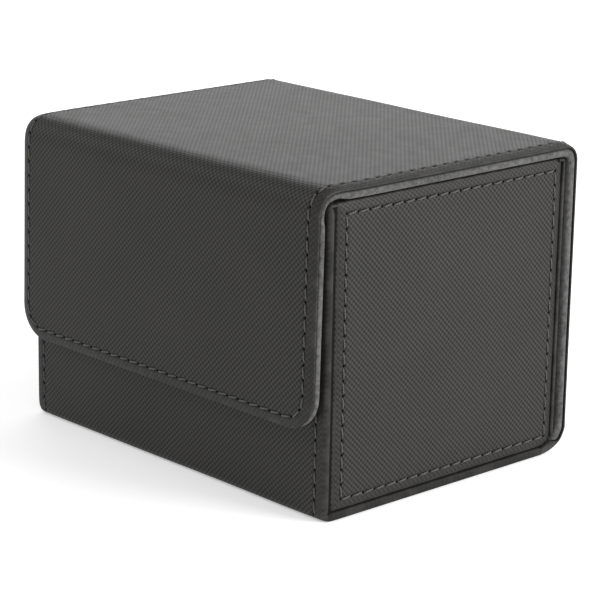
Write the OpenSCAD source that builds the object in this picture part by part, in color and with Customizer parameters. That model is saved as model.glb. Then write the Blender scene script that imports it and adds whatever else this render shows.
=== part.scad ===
// Side-loading card deck box: a boarded leather tray inside a soft cover whose back, lid and flap
// are joined by two unboarded bends. Millimetres, +Z up, front at -Y, origin under the middle of the box.

/* [Overall size] */
// Width of the tray over its side panels
box_w = 104; // [100:0.5:112]
// Depth from the flap's lower edge to the back of the cover
box_d = 84.3; // [80:0.1:90]
// Height over the closed lid
box_h = 75.8; // [72:0.1:80]

/* [Laminate] */
// Thickness of the outer leather
leather_t = 0.7; // [0.6:0.05:0.8]
// Thickness of the boards in the tray
tray_board_t = 1.5; // [1.2:0.1:2]
// Thickness of the boards in the cover
cover_board_t = 2; // [1.8:0.1:2.2]
// Thickness of the microfibre lining
lining_t = 0.5; // [0.4:0.05:0.6]

/* [Tray] */
// Height of the bottom leather's turned-up side lips
base_lip_h = 1.6; // [1.4:0.1:2]
// Width of the open groove round each side panel
panel_groove = 0.4; // [0.3:0.05:0.5]
// How far the front panel slopes back from its seams to its side edges
front_slope = 0.6; // [0.4:0.1:1.6]
// Gap between the tray's rim and the closed lid
lid_gap = 0.4; // [0.3:0.1:0.8]
// Thickness of the adhesive film between the tray and the cover's back
bond_t = 0.8; // [0.4:0.1:1]

/* [Cover] */
// Width of the cover's back and lid
cover_w = 105.4; // [100:0.1:112.5]
// Width of the flap
flap_w = 103.4; // [99:0.1:112]
// Height of the flap's lower edge above the table
flap_foot = 21.3; // [18:0.1:30]
// Radius of the flap's lower corners
flap_corner_r = 8; // [6:0.5:12]
// Gap between the tray's front and the top of the flap
flap_gap = 0.4; // [0.4:0.1:2]
// How much further out the flap's lower edge stands than its top
flap_flare = 0.9; // [0.5:0.1:2]
// Outer radius of the bend between the lid and the flap
front_bend_r = 7; // [6.5:0.5:8]
// Outer radius of the bend between the back and the lid
rear_bend_r = 4.5; // [4:0.5:6.5]
// Outer radius of the bend between the back and the bottom
base_bend_r = 8; // [6:0.5:8]
// Width of the microfibre hem turned round the cover's edges
hem_w = 3.4; // [2.5:0.1:4.5]

/* [Seams] */
// Length of thread and hole along a seam
stitch_pitch = 3.5; // [2.5:0.1:4.5]
// Thread between one hole and the next
stitch_len = 2.6; // [1.8:0.1:2.8]
// Width of the thread
thread_w = 0.45; // [0.3:0.05:0.6]
// Distance from the front panel's edge to its seam
front_seam_margin = 3.2; // [2.5:0.1:4]
// Distance from a side panel's edge to its seam
panel_seam_margin = 2.6; // [2.4:0.1:4]
// Distance from the cover's edge to its seam
cover_seam_margin = 2.7; // [2.4:0.1:3.2]

/* [Magnets] */
// Diameter of the disc magnets
magnet_d = 10; // [8:1:14]
// Distance between the two magnets of a pair
magnet_spacing = 60; // [40:5:80]
// Height of the magnets above the table
magnet_z = 34; // [30:1:45]

/* [Hidden] */

$fn = 96;
leather_colour = [0.24, 0.235, 0.23];
lining_colour = [0.5, 0.5, 0.49];
board_colour = [0.45, 0.42, 0.38];
thread_colour = [0.47, 0.46, 0.45];
magnet_colour = "silver";
bond_colour = [0.75, 0.72, 0.62];

cut = 1;                     // how far a cutting shape runs past what it cuts
clearance = 0.05;            // room round a part in its pocket
seam_w = 1;                  // width of the pressed channel that the thread lies in
seam_depth = 0.35;           // depth of that channel
thread_h = 0.3;              // height of the thread in its channel
thread_slant = 4;            // degrees that each stitch lies off its seam's line

laminate_t = leather_t + cover_board_t + lining_t;   // thickness of the cover
half_w = box_w / 2;
half_cover = cover_w / 2;
cover_seam_x = half_cover - cover_seam_margin;
board_x = half_w - leather_t;                        // outer face of the side boards
lining_x = board_x - tray_board_t;                   // outer face of the side linings
inner_x = lining_x - lining_t;                       // inner face of the side linings

back_y = box_d / 2;                                              // outer face of the cover's back
front_y = -back_y + flap_flare + laminate_t + flap_gap;          // outer face of the tray's front
front_board_y = front_y + leather_t;
front_lining_y = front_board_y + tray_board_t;
inner_front_y = front_lining_y + lining_t;
rear_y = back_y - laminate_t - bond_t;                           // outer face of the tray's rear wall
rear_board_y = rear_y - leather_t;
rear_lining_y = rear_board_y - tray_board_t;
inner_rear_y = rear_lining_y - lining_t;
side_front_y = front_lining_y + panel_groove;                    // front edge of the side panels
side_rear_y = rear_board_y - panel_groove;                       // rear edge of the side panels

bottom_board_z = leather_t;
bottom_lining_z = bottom_board_z + tray_board_t;
floor_z = bottom_lining_z + lining_t;
rim_z = box_h - laminate_t - lid_gap;                            // top of the tray's walls
board_top_z = rim_z - leather_t;
side_foot_z = base_lip_h + panel_groove;                         // lower edge of the side panels

front_bend_y = -back_y + flap_flare + front_bend_r;              // centre line of the front bend
front_bend_z = box_h - front_bend_r;
rear_bend_y = back_y - rear_bend_r;                              // centre line of the rear bend
rear_bend_z = box_h - rear_bend_r;
base_bend_y = back_y - base_bend_r;                              // centre line of the base bend
back_hem_z = [base_bend_r + 0.5, rear_bend_z - 0.5];             // lower and upper edge of the back's hem
bend_hem = 2;                                                    // width of the hem beside a bend

// The flap is tangent to the front bend and leans out by flap_flare over its drop.
flap_drop = front_bend_z - flap_foot;
flap_out = front_bend_r + flap_flare;                            // the foot's distance from the bend's centre
flap_len = sqrt(pow(flap_out, 2) + pow(flap_drop, 2) - pow(front_bend_r, 2));
flap_lean = atan2(flap_len, front_bend_r) - acos(flap_out / norm([front_bend_r, flap_len]));
flap_magnet_z = (magnet_z - front_bend_z) / cos(flap_lean);

// ---------- shared shapes ----------

// A box from its limits along X, Y and Z
module block(x, y, z) {
    translate([x[0], y[0], z[0]]) cube([x[1] - x[0], y[1] - y[0], z[1] - z[0]]);
}

// A shape drawn in the Y-Z plane, extruded evenly to both sides of the middle
module across(width) {
    rotate([90, 0, 90]) linear_extrude(width, center = true) children();
}

// A quarter of a ring on the +Y side, above its centre for sign_z 1 and below it for -1
module quarter_ring(r_out, thickness, sign_z) {
    far = 2 * r_out;
    intersection() {
        difference() {
            circle(r_out);
            circle(r_out - thickness);
        }
        polygon([[0, 0], [far, 0], [far, sign_z * far], [0, sign_z * far]]);
    }
}

// One stitch along X, standing on Z = 0
module stitch() {
    rotate([0, 0, thread_slant]) translate([-stitch_len / 2, -thread_w / 2, 0])
        cube([stitch_len, thread_w, thread_h]);
}

// A straight row of stitches along X from 0, standing on Z = 0
module seam(length) {
    count = round(length / stitch_pitch);
    for (i = [0 : count - 1]) translate([(i + 0.5) * length / count, 0, 0]) stitch();
}

// A quarter turn of stitches round the origin, starting on +X
module corner_seam(radius) {
    count = round(radius * PI / 2 / stitch_pitch);
    for (i = [0 : count - 1])
        rotate([0, 0, (i + 0.5) * 90 / count]) translate([radius, 0, 0]) rotate([0, 0, 90]) stitch();
}

// Disc magnets side by side, faces square to Y, from Y = 0 towards +Y
module magnet_pair(diameter, thickness) {
    for (side = [-1, 1])
        translate([side * magnet_spacing / 2, 0, 0]) rotate([-90, 0, 0]) cylinder(d = diameter, h = thickness);
}

// ---------- tray: boards ----------

// The front panel seen from above, drawn in by a depth: flat between its seams, sloping back beside them
module front_outline(depth, rear_y) {
    side_x = half_w - depth;
    seam_x = half_w - front_seam_margin;
    face_y = front_y + depth;
    side_y = face_y + front_slope * (1 - depth / front_seam_margin);
    polygon([
        [-side_x, rear_y], [-side_x, side_y], [-seam_x, face_y],
        [seam_x, face_y], [side_x, side_y], [side_x, rear_y]
    ]);
}

// The front panel between two heights
module front_panel(depth, rear_y, z) {
    translate([0, 0, z[0]]) linear_extrude(z[1] - z[0]) front_outline(depth, rear_y);
}

// The rounded corner that joins the front panel to the bottom, drawn in by a depth
module front_corner(depth, rear_y, top_z) {
    intersection() {
        across(box_w) translate([front_lining_y, bottom_lining_z]) circle(leather_t + tray_board_t - depth);
        front_panel(depth, rear_y, [0, top_z]);
    }
}

module front_board() {
    color(board_colour) difference() {
        front_panel(leather_t, front_lining_y, [bottom_lining_z, board_top_z]);
        translate([0, front_board_y - cut, magnet_z])
            magnet_pair(magnet_d + 2 * clearance, tray_board_t + 2 * cut);
    }
}

module rear_board() {
    color(board_colour)
        block([-lining_x, lining_x], [rear_lining_y, rear_board_y], [bottom_lining_z, board_top_z]);
}

module right_board() {
    color(board_colour)
        block([lining_x, board_x], [front_lining_y, side_rear_y], [bottom_lining_z, board_top_z]);
}

module left_board() {
    mirror([1, 0, 0]) right_board();
}

// The bottom board with its rounded front edge
module bottom_board() {
    color(board_colour) {
        block([-board_x, board_x], [front_lining_y, base_bend_y], [bottom_board_z, bottom_lining_z]);
        front_corner(leather_t, front_lining_y, bottom_lining_z);
    }
}

// ---------- tray: leather ----------

// The front sheet, turned back round the front board's sides, over the rim and round the lower corner
module front_leather() {
    color(leather_colour) difference() {
        union() {
            front_panel(0, front_lining_y, [bottom_lining_z, rim_z]);
            front_corner(0, front_lining_y, bottom_lining_z);
        }
        front_panel(leather_t, front_lining_y + cut, [bottom_lining_z, board_top_z]);
        front_corner(leather_t, front_lining_y + cut, bottom_lining_z + cut);
        for (side = [-1, 1])
            translate([side * (half_w - front_seam_margin) - seam_w / 2, front_y - cut, side_foot_z])
                cube([seam_w, cut + seam_depth, rim_z - side_foot_z - front_seam_margin]);
    }
}

// The bottom sheet with its side edges turned up beside the boards
module bottom_leather() {
    color(leather_colour) {
        block([-half_w, half_w], [front_lining_y, base_bend_y], [0, leather_t]);
        for (side = [0, 1]) mirror([side, 0, 0])
            block([board_x, half_w], [front_lining_y, base_bend_y], [leather_t, base_lip_h]);
    }
}

// The sheet over the tray's rear wall, turned over the rim
module rear_leather() {
    color(leather_colour) {
        block([-half_w, half_w], [rear_board_y, rear_y], [bottom_lining_z, rim_z]);
        block([-lining_x, lining_x], [rear_lining_y, rear_board_y], [board_top_z, rim_z]);
    }
}

side_seam_y = [side_front_y + panel_seam_margin, side_rear_y - panel_seam_margin];
side_seam_z = [side_foot_z + panel_seam_margin, rim_z - panel_seam_margin];

// A stitched side panel, turned over the rim
module right_leather() {
    color(leather_colour) difference() {
        union() {
            block([board_x, half_w], [side_front_y, side_rear_y], [side_foot_z, rim_z]);
            block([lining_x, board_x], [side_front_y, side_rear_y], [board_top_z, rim_z]);
        }
        difference() {
            block([half_w - seam_depth, half_w + cut],
                [side_seam_y[0] - seam_w / 2, side_seam_y[1] + seam_w / 2],
                [side_seam_z[0] - seam_w / 2, side_seam_z[1] + seam_w / 2]);
            block([half_w - seam_depth - cut, half_w + 2 * cut],
                [side_seam_y[0] + seam_w / 2, side_seam_y[1] - seam_w / 2],
                [side_seam_z[0] + seam_w / 2, side_seam_z[1] - seam_w / 2]);
        }
    }
}

module left_leather() {
    mirror([1, 0, 0]) right_leather();
}

// ---------- tray: lining ----------

module front_lining() {
    color(lining_colour)
        block([-lining_x, lining_x], [front_lining_y, inner_front_y], [bottom_lining_z, rim_z]);
}

module rear_lining() {
    color(lining_colour)
        block([-lining_x, lining_x], [inner_rear_y, rear_lining_y], [bottom_lining_z, rim_z]);
}

module right_lining() {
    color(lining_colour)
        block([inner_x, lining_x], [inner_front_y, inner_rear_y], [bottom_lining_z, rim_z]);
}

module left_lining() {
    mirror([1, 0, 0]) right_lining();
}

module bottom_lining() {
    color(lining_colour)
        block([-inner_x, inner_x], [inner_front_y, inner_rear_y], [bottom_lining_z, floor_z]);
}

// ---------- tray: seams and magnets ----------

// Two upright rows near the front panel's side edges
module front_stitching() {
    color(thread_colour) for (side = [-1, 1])
        translate([side * (half_w - front_seam_margin), front_y + seam_depth, side_foot_z])
            rotate([90, -90, 0]) seam(rim_z - side_foot_z - front_seam_margin);
}

// A closed rectangle of stitches on a side panel
module right_stitching() {
    seam_y = side_seam_y[1] - side_seam_y[0] - seam_w;
    seam_z = side_seam_z[1] - side_seam_z[0] - seam_w;
    color(thread_colour) translate([half_w - seam_depth, 0, 0]) {
        for (z = side_seam_z) translate([0, side_seam_y[0] + seam_w / 2, z])
            rotate([90, 0, 90]) seam(seam_y);
        for (y = side_seam_y) translate([0, y, side_seam_z[0] + seam_w / 2])
            rotate([0, -90, 180]) seam(seam_z);
    }
}

module left_stitching() {
    mirror([1, 0, 0]) right_stitching();
}

module front_magnets() {
    color(magnet_colour) translate([0, front_board_y, magnet_z]) magnet_pair(magnet_d, tray_board_t);
}

// ---------- cover: fixed back ----------

// Adhesive film between the tray's rear wall and the cover's back
module cover_bond() {
    inset = hem_w + 1;
    color(bond_colour)
        block([-half_w + inset, half_w - inset], [rear_y, rear_y + bond_t],
            [back_hem_z[0] + inset, back_hem_z[1] - inset]);
}

module cover_back_board() {
    color(board_colour)
        block([-half_cover + hem_w + clearance, half_cover - hem_w - clearance],
            [back_y - leather_t - cover_board_t, back_y - leather_t],
            [back_hem_z[0] + bend_hem + clearance, back_hem_z[1] - bend_hem - clearance]);
}

// The back's leather, carried round the base bend to meet the bottom sheet
module cover_back_leather() {
    color(leather_colour) difference() {
        across(cover_w) {
            translate([back_y - leather_t, base_bend_r]) square([leather_t, rear_bend_z - base_bend_r]);
            translate([base_bend_y, base_bend_r]) quarter_ring(base_bend_r, leather_t, -1);
        }
        for (side = [-1, 1])
            translate([side * cover_seam_x - seam_w / 2, back_y - seam_depth, base_bend_r])
                cube([seam_w, cut + seam_depth, rear_bend_z - base_bend_r + cut]);
    }
}

// Microfibre on the back: a hem at full thickness round a pocket for the board
module cover_back_lining() {
    color(lining_colour) difference() {
        block([-half_cover, half_cover], [back_y - laminate_t, back_y - leather_t], back_hem_z);
        block([-half_cover + hem_w, half_cover - hem_w], [back_y - leather_t - cover_board_t, back_y + cut],
            [back_hem_z[0] + bend_hem, back_hem_z[1] - bend_hem]);
    }
}

module cover_back_stitching() {
    color(thread_colour) for (side = [-1, 1])
        translate([side * cover_seam_x, back_y - seam_depth, base_bend_r])
            rotate([-90, -90, 0]) seam(rear_bend_z - base_bend_r);
}

// ---------- lid ----------

module lid_board() {
    color(board_colour)
        block([-half_cover + hem_w + clearance, half_cover - hem_w - clearance],
            [front_bend_y + bend_hem + clearance, rear_bend_y - bend_hem - clearance],
            [box_h - leather_t - cover_board_t, box_h - leather_t]);
}

module lid_leather() {
    color(leather_colour) difference() {
        block([-half_cover, half_cover], [front_bend_y, rear_bend_y], [box_h - leather_t, box_h]);
        for (side = [-1, 1])
            translate([side * cover_seam_x - seam_w / 2, front_bend_y - cut, box_h - seam_depth])
                cube([seam_w, rear_bend_y - front_bend_y + 2 * cut, seam_depth + cut]);
    }
}

// Microfibre under the lid: a hem at full thickness round a pocket for the board
module lid_lining() {
    color(lining_colour) difference() {
        block([-half_cover, half_cover], [front_bend_y, rear_bend_y], [box_h - laminate_t, box_h - leather_t]);
        block([-half_cover + hem_w, half_cover - hem_w], [front_bend_y + bend_hem, rear_bend_y - bend_hem],
            [box_h - leather_t - cover_board_t, box_h + cut]);
    }
}

module lid_stitching() {
    color(thread_colour) for (side = [-1, 1])
        translate([side * cover_seam_x, front_bend_y, box_h - seam_depth])
            rotate([0, 0, 90]) seam(rear_bend_y - front_bend_y);
}

// ---------- bends ----------

module rear_bend(thickness, depth) {
    across(cover_w) translate([rear_bend_y, rear_bend_z]) quarter_ring(rear_bend_r - depth, thickness, 1);
}

module rear_bend_leather() {
    color(leather_colour) rear_bend(leather_t, 0);
}

module rear_bend_lining() {
    color(lining_colour) rear_bend(lining_t, leather_t);
}

// The front bend stops short of a quarter turn by the flap's lean.
module front_bend(thickness, depth) {
    outer_r = front_bend_r - depth;
    far = 2 * front_bend_r;
    across(flap_w) translate([front_bend_y, front_bend_z]) intersection() {
        difference() {
            circle(outer_r);
            circle(outer_r - thickness);
        }
        polygon([[0, 0], [0, far], [-far, far], [-far * cos(flap_lean), far * sin(flap_lean)]]);
    }
}

module front_bend_leather() {
    color(leather_colour) front_bend(leather_t, 0);
}

module front_bend_lining() {
    color(lining_colour) front_bend(lining_t, leather_t);
}

// ---------- flap ----------

// The flap's own frame: outer face at Y = 0, thickness towards +Y, top edge at Z = 0
module at_flap() {
    translate([0, front_bend_y, front_bend_z]) rotate([-flap_lean, 0, 0]) translate([0, -front_bend_r, 0])
        children();
}

// The flap's outline drawn in by an inset at the sides and bottom, raised or lowered at the top
module flap_outline(inset, top) {
    r = flap_corner_r - inset;
    half = flap_w / 2 - inset;
    foot = inset - flap_len;
    translate([-half, foot + r]) square([2 * half, top - foot - r]);
    translate([r - half, foot]) square([2 * (half - r), r + clearance]);
    for (side = [-1, 1]) translate([side * (half - r), foot + r]) circle(r);
}

// A layer of the flap between two depths below its outer face
module flap_layer(depth, thickness, inset, top) {
    translate([0, depth + thickness, 0]) rotate([90, 0, 0]) linear_extrude(thickness) flap_outline(inset, top);
}

module flap_board() {
    color(board_colour) at_flap() difference() {
        flap_layer(leather_t, cover_board_t, hem_w + clearance, -bend_hem - clearance);
        translate([0, leather_t - cut, flap_magnet_z])
            magnet_pair(magnet_d + 2 * clearance, cover_board_t + 2 * cut);
    }
}

module flap_leather() {
    color(leather_colour) at_flap() difference() {
        flap_layer(0, leather_t, 0, 0);
        difference() {
            flap_layer(-cut, cut + seam_depth, cover_seam_margin - seam_w / 2, cut);
            flap_layer(-2 * cut, 3 * cut + seam_depth, cover_seam_margin + seam_w / 2, 2 * cut);
        }
    }
}

// Microfibre behind the flap: a hem at full thickness round a pocket for the board
module flap_lining() {
    color(lining_colour) at_flap() difference() {
        flap_layer(leather_t, cover_board_t + lining_t, 0, 0);
        flap_layer(leather_t - cut, cover_board_t + cut, hem_w, -bend_hem);
    }
}

// Stitches down both sides, round the corners and along the bottom
module flap_stitching() {
    side_x = flap_w / 2 - cover_seam_margin;
    corner_r = flap_corner_r - cover_seam_margin;
    corner_x = side_x - corner_r;
    foot = cover_seam_margin - flap_len;
    color(thread_colour) at_flap() translate([0, seam_depth, 0]) rotate([90, 0, 0]) {
        for (side = [-1, 1]) translate([side * side_x, foot + corner_r, 0])
            rotate([0, 0, 90]) seam(-foot - corner_r);
        translate([-corner_x, foot, 0]) seam(2 * corner_x);
        for (side = [0, 1]) mirror([side, 0, 0])
            translate([corner_x, foot + corner_r, 0]) rotate([0, 0, -90]) corner_seam(corner_r);
    }
}

module flap_magnets() {
    color(magnet_colour) at_flap()
        translate([0, leather_t, flap_magnet_z]) magnet_pair(magnet_d, cover_board_t);
}

front_board();
rear_board();
left_board();
right_board();
bottom_board();
front_leather();
bottom_leather();
rear_leather();
left_leather();
right_leather();
front_lining();
rear_lining();
left_lining();
right_lining();
bottom_lining();
front_stitching();
left_stitching();
right_stitching();
front_magnets();
cover_bond();
cover_back_board();
cover_back_leather();
cover_back_lining();
cover_back_stitching();
lid_board();
lid_leather();
lid_lining();
lid_stitching();
rear_bend_leather();
rear_bend_lining();
flap_board();
flap_leather();
flap_lining();
flap_stitching();
flap_magnets();
front_bend_leather();
front_bend_lining();
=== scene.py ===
"""A side-loading card deck box in stitched, embossed artificial leather with a microfibre lining.

Lengths are in millimetres. Every sheet is a grid bent along a path in the plane that the path is drawn in:
its rows cross the path, and its columns run beside it at insets from the sheet's side edges.
"""

import math

import bmesh
import bpy
import numpy as np
from mathutils import Matrix, Vector


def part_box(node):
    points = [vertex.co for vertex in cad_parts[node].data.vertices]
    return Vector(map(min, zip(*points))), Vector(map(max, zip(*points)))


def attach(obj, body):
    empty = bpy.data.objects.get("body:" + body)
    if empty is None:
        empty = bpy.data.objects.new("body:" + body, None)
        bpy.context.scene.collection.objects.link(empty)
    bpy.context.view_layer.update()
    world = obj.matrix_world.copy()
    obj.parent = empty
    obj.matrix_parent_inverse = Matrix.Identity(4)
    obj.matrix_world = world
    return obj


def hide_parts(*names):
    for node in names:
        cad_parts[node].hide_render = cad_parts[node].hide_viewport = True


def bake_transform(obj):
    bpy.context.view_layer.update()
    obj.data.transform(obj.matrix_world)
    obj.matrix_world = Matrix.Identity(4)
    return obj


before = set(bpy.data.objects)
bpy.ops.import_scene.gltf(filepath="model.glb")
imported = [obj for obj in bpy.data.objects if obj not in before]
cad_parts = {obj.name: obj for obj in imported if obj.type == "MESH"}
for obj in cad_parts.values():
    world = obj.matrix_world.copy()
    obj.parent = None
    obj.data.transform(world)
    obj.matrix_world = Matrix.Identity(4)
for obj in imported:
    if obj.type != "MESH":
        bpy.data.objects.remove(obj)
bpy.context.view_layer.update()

MM = 0.001


def reach(node):
    """Lowest and highest corner of a CAD node, in millimetres."""
    low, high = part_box(node)
    return np.array(low) / MM, np.array(high) / MM


# ---------- sizes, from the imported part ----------

side_low, side_high = reach("right_leather")
front_low, front_high = reach("front_leather")
rear_low, rear_high = reach("rear_leather")
lid_low, lid_high = reach("lid_leather")
flap_low, flap_high = reach("flap_leather")
cover_high = reach("cover_back_leather")[1]

LEATHER_T = 0.7
LINING_T = 0.5
LAMINATE_T = 3.2
BEND_T = LEATHER_T + LINING_T
HALF_TRAY = side_high[0]
HALF_COVER = lid_high[0]
HALF_FLAP = flap_high[0]
TOP_Z = lid_high[2]
RIM_Z = side_high[2]
WALL_T = front_high[1] - front_low[1]  # leather and board
FRONT_BEND_R = 7.0
REAR_BEND_R = cover_high[1] - lid_high[1]
BASE_BEND_R = cover_high[1] - reach("bottom_leather")[1][1]
FLAP_CORNER_R = 8.0
FRONT_SLOPE = 0.35  # how far the tray's front falls back from its seams to its side edges
SIDE_SLOPE = 0.65  # the same for the side panels
COVER_SLOPE = 0.675  # the same for the lid, the back and the flap
SLOPE_POWER = 1.5

FRONT_SEAM = 3.2  # distance from the front panel's side edges to its seams
PANEL_SEAM = 2.6  # the same for the side panels
COVER_SEAM = 2.7  # the same for the cover
SEAM_DEPTH = 0.28
SEAM_HALF_W = 0.34
STITCH_PITCH = 3.5
STITCH_LEN = 2.9
THREAD_R = 0.21
THREAD_SLANT = 7.0
THREAD_SHOWS = 0.05  # how far the thread's middle stands out of the microfibre

RING = 8.0  # width of the band of closely spaced columns round a sheet's edges
FAR = 20.0  # an inset that no seam or edge reaches


# ---------- paths ----------


def ahead_of(angle):
    return np.array([math.cos(angle), math.sin(angle)])


def left_of(angle):
    return np.array([-math.sin(angle), math.cos(angle)])


class Path:
    """Straight runs and left turns in a plane, with the sheet's outside on the right."""

    def __init__(self, start, heading, steps):
        self.parts = []
        self.marks = [0.0]
        point, angle, travelled = np.array(start, float), math.radians(heading), 0.0
        for kind, size, *turn in steps:
            radius = size if kind == "turn" else 0.0
            length = size * math.radians(turn[0]) if kind == "turn" else size
            self.parts.append((travelled, point, angle, radius))
            if radius:
                centre = point + radius * left_of(angle)
                angle += math.radians(turn[0])
                point = centre - radius * left_of(angle)
            else:
                point = point + length * ahead_of(angle)
            travelled += length
            self.marks.append(travelled)
        self.length = travelled

    def at(self, s):
        """Points and outward normals at distances s along the path."""
        s = np.asarray(s, float)
        point, heading = np.zeros(s.shape + (2,)), np.zeros(s.shape)
        for begin, start, angle, radius in self.parts:
            here = (s >= begin) if begin else np.full(s.shape, True)
            ahead = s[here] - begin
            if radius:
                turned = angle + ahead / radius
                centre = start + radius * left_of(angle)
                point[here] = centre + radius * np.stack([np.sin(turned), -np.cos(turned)], -1)
                heading[here] = turned
            else:
                point[here] = start + ahead[..., None] * ahead_of(angle)
                heading[here] = angle
        return point, np.stack([np.sin(heading), -np.cos(heading)], -1)

    def rows(self, run_step, turn_step, until=None):
        """Distances of the rows: even within each run and each turn, up to a last distance."""
        found = [0.0]
        for (begin, _, _, radius), end in zip(self.parts, self.marks[1:], strict=True):
            end = end if until is None else min(end, until)
            if end > begin + 1e-6:
                count = max(1, round((end - begin) / (turn_step if radius else run_step)))
                found += [begin + (end - begin) * (i + 1) / count for i in range(count)]
        return np.array(found)


def smooth(x, low, high):
    """0 below low, 1 above high, and a smooth step between."""
    t = np.clip((np.asarray(x, float) - low) / (high - low), 0, 1)
    return t * t * (3 - 2 * t)


# ---------- sheets ----------

EDGE_R = 0.35  # radius of most edges
FRONT_EDGE_R = 1.2  # radius of the front panel's side edges
# Keys of the rows and columns near an edge: an inset in millimetres, or below 0 the way round the edge
ROUND_KEYS = [-1.0, -0.9, -0.8, -0.7, -0.6, -0.5, -0.4, -0.3, -0.2, -0.1]
EDGE_INSETS = [0.6, 0.9, 1.25, 1.65, 2.05, 2.4]
SEAM_STEPS = [-0.55, -0.4, -0.27, -0.14, 0, 0.14, 0.27, 0.4, 0.6]
INNER_INSETS = [3.65, 4.0, 4.4, 5.0, 6.2, RING]


def edge_keys(radius, margin):
    """Keys across an edge of a given radius and the seam beside it."""
    before = [d for d in EDGE_INSETS if radius + 0.2 < d < margin - 0.65]
    after = [d for d in INNER_INSETS if d > margin + 0.75]
    return ROUND_KEYS + [radius] + before + [margin + d for d in SEAM_STEPS] + after


EDGE_SPACING = 0.2  # what the way round an edge counts for among the insets
ROW_STEP = 1.4  # between the rows of a panel's runs
TURN_STEP = 0.3  # between the rows of a turn
COVER_TURN_STEP = 0.4
INNER_COLUMNS = 12  # spaces between the columns inside the closely spaced bands
PLAIN_KEYS = ROUND_KEYS + [EDGE_R, 0.7, 1.2, 1.8, 2.5, 3.2, 3.6, 4.2, 5.5, RING]


class Sheet:
    """A grid along a path, of half width half(s). With a foot, its far end is an edge like its sides."""

    def __init__(self, path, half, keys, rows, place, foot=False, corner_r=0.0):
        self.path, self.half, self.place, self.corner_r = path, half, place, corner_r
        inner = np.linspace(-1, 1, INNER_COLUMNS + 1)[1:-1]
        self.side = np.concatenate([-np.ones(len(keys)), np.zeros(len(inner)), np.ones(len(keys))])
        self.share = np.concatenate([np.zeros(len(keys)), inner, np.zeros(len(keys))])
        self.column_key = np.concatenate([keys, np.full(len(inner), np.inf), keys[::-1]])
        body_rows = rows[rows < path.length - RING - 0.2] if foot else rows
        foot_keys = np.array(keys[::-1]) if foot else np.array([])
        self.row_s = np.concatenate([body_rows, np.full(len(foot_keys), path.length)])
        self.row_key = np.concatenate([np.full(len(body_rows), np.inf), foot_keys])
        self.key = np.minimum(self.column_key[None, :], self.row_key[:, None])

    def order(self, key):
        """How far towards its edge a key lies, growing all the way round the edge too."""
        return RING - np.clip(key, 0, RING) - EDGE_SPACING * np.minimum(key, 0)

    def spread(self, inset):
        """Where each grid point lies on the flat sheet, for a function from key to inset."""
        plain = RING - np.minimum(inset(self.column_key), RING)
        reach_out = RING - np.minimum(inset(self.key), RING)
        to_side = self.order(self.column_key)[None, :]
        to_foot = self.order(self.row_key)[:, None]
        share = np.minimum(to_side, to_foot) / np.maximum(np.maximum(to_side, to_foot), 1e-9)
        radius = np.clip(self.corner_r - RING + reach_out, 0, reach_out)
        run = reach_out - radius
        travelled = share * (run + radius * math.pi / 4)
        turned = np.clip(travelled - run, 0, None) / np.maximum(radius, 1e-9)
        out = np.where(travelled < run, reach_out, run + radius * np.cos(turned))
        beside = np.where(travelled < run, travelled, run + radius * np.sin(turned))
        across = np.where(to_side >= to_foot, out, beside)
        along = np.where(to_side >= to_foot, beside, out)
        in_foot = np.isfinite(self.row_key)[:, None]
        s = np.where(in_foot, self.path.length - RING + along, self.row_s[:, None])
        across = np.where(in_foot, across, plain)
        half = self.half(s)
        x = np.where(self.side != 0, self.side * (half - RING + across), self.share * (half - RING))
        return x, s

    def flat(self):
        """Where each grid point lies on the flat sheet, with the way round its edges left out."""
        return self.spread(lambda key: np.clip(key, 0, None))

    def points(self, inset, height):
        """Grid points at inset(key) from the edges and height(key, x, s) over the path."""
        x, s = self.spread(inset)
        point, normal = self.path.at(s)
        raised = point + normal * height(self.key, x, s)[..., None]
        return self.place(x, raised)


def along_x(x, point):
    """A sheet whose path lies in the Y-Z plane."""
    return np.stack([x, point[..., 0], point[..., 1]], -1)


def add_object(name, data):
    """A new object of the scene, from a mesh, a light or a camera."""
    obj = bpy.data.objects.new(name, data)
    bpy.context.scene.collection.objects.link(obj)
    return obj


MERGE_DISTANCE = 0.0002
SHARP_ANGLE = 50.0


def mesh_object(name, verts, faces, layers, floats, material, merge=True):
    """A smooth mesh object, with UV layers given per face corner and float attributes per point.

    merge joins the points that meet, and keeps sharp edges sharp.
    """
    mesh = bpy.data.meshes.new(name)
    mesh.from_pydata((verts * MM).tolist(), [], faces)
    for layer, values in layers.items():
        mesh.uv_layers.new(name=layer).data.foreach_set("uv", values.astype(np.float32).ravel())
    for attribute, values in floats.items():
        numbers = mesh.attributes.new(attribute, "FLOAT", "POINT").data
        numbers.foreach_set("value", values.astype(np.float32))
    bm = bmesh.new()
    bm.from_mesh(mesh)
    if merge:
        bmesh.ops.remove_doubles(bm, verts=bm.verts, dist=MERGE_DISTANCE * MM)
        bmesh.ops.dissolve_degenerate(bm, edges=bm.edges, dist=MERGE_DISTANCE / 2 * MM)
    bmesh.ops.recalc_face_normals(bm, faces=bm.faces)
    bm.to_mesh(mesh)
    bm.free()
    mesh.shade_smooth()
    if merge:
        mesh.set_sharp_from_angle(angle=math.radians(SHARP_ANGLE))
    mesh.materials.append(material)
    return add_object(name, mesh)


def hand_over(piece, motion, nodes):
    """Attaches a piece to the body that it moves with, or only bakes its transform for a bend between two,
    and hides the CAD nodes that it stands for.
    """
    if isinstance(motion, str):
        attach(piece, motion)
    else:
        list(motion)
        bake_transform(piece)
    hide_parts(*nodes)


def grid_faces(rows, columns):
    """The quads of a grid, as four point numbers each."""
    row, column = np.meshgrid(np.arange(rows - 1), np.arange(columns - 1), indexing="ij")
    first = (row * columns + column).ravel()
    return np.stack([first, first + 1, first + columns + 1, first + columns], -1)


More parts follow.
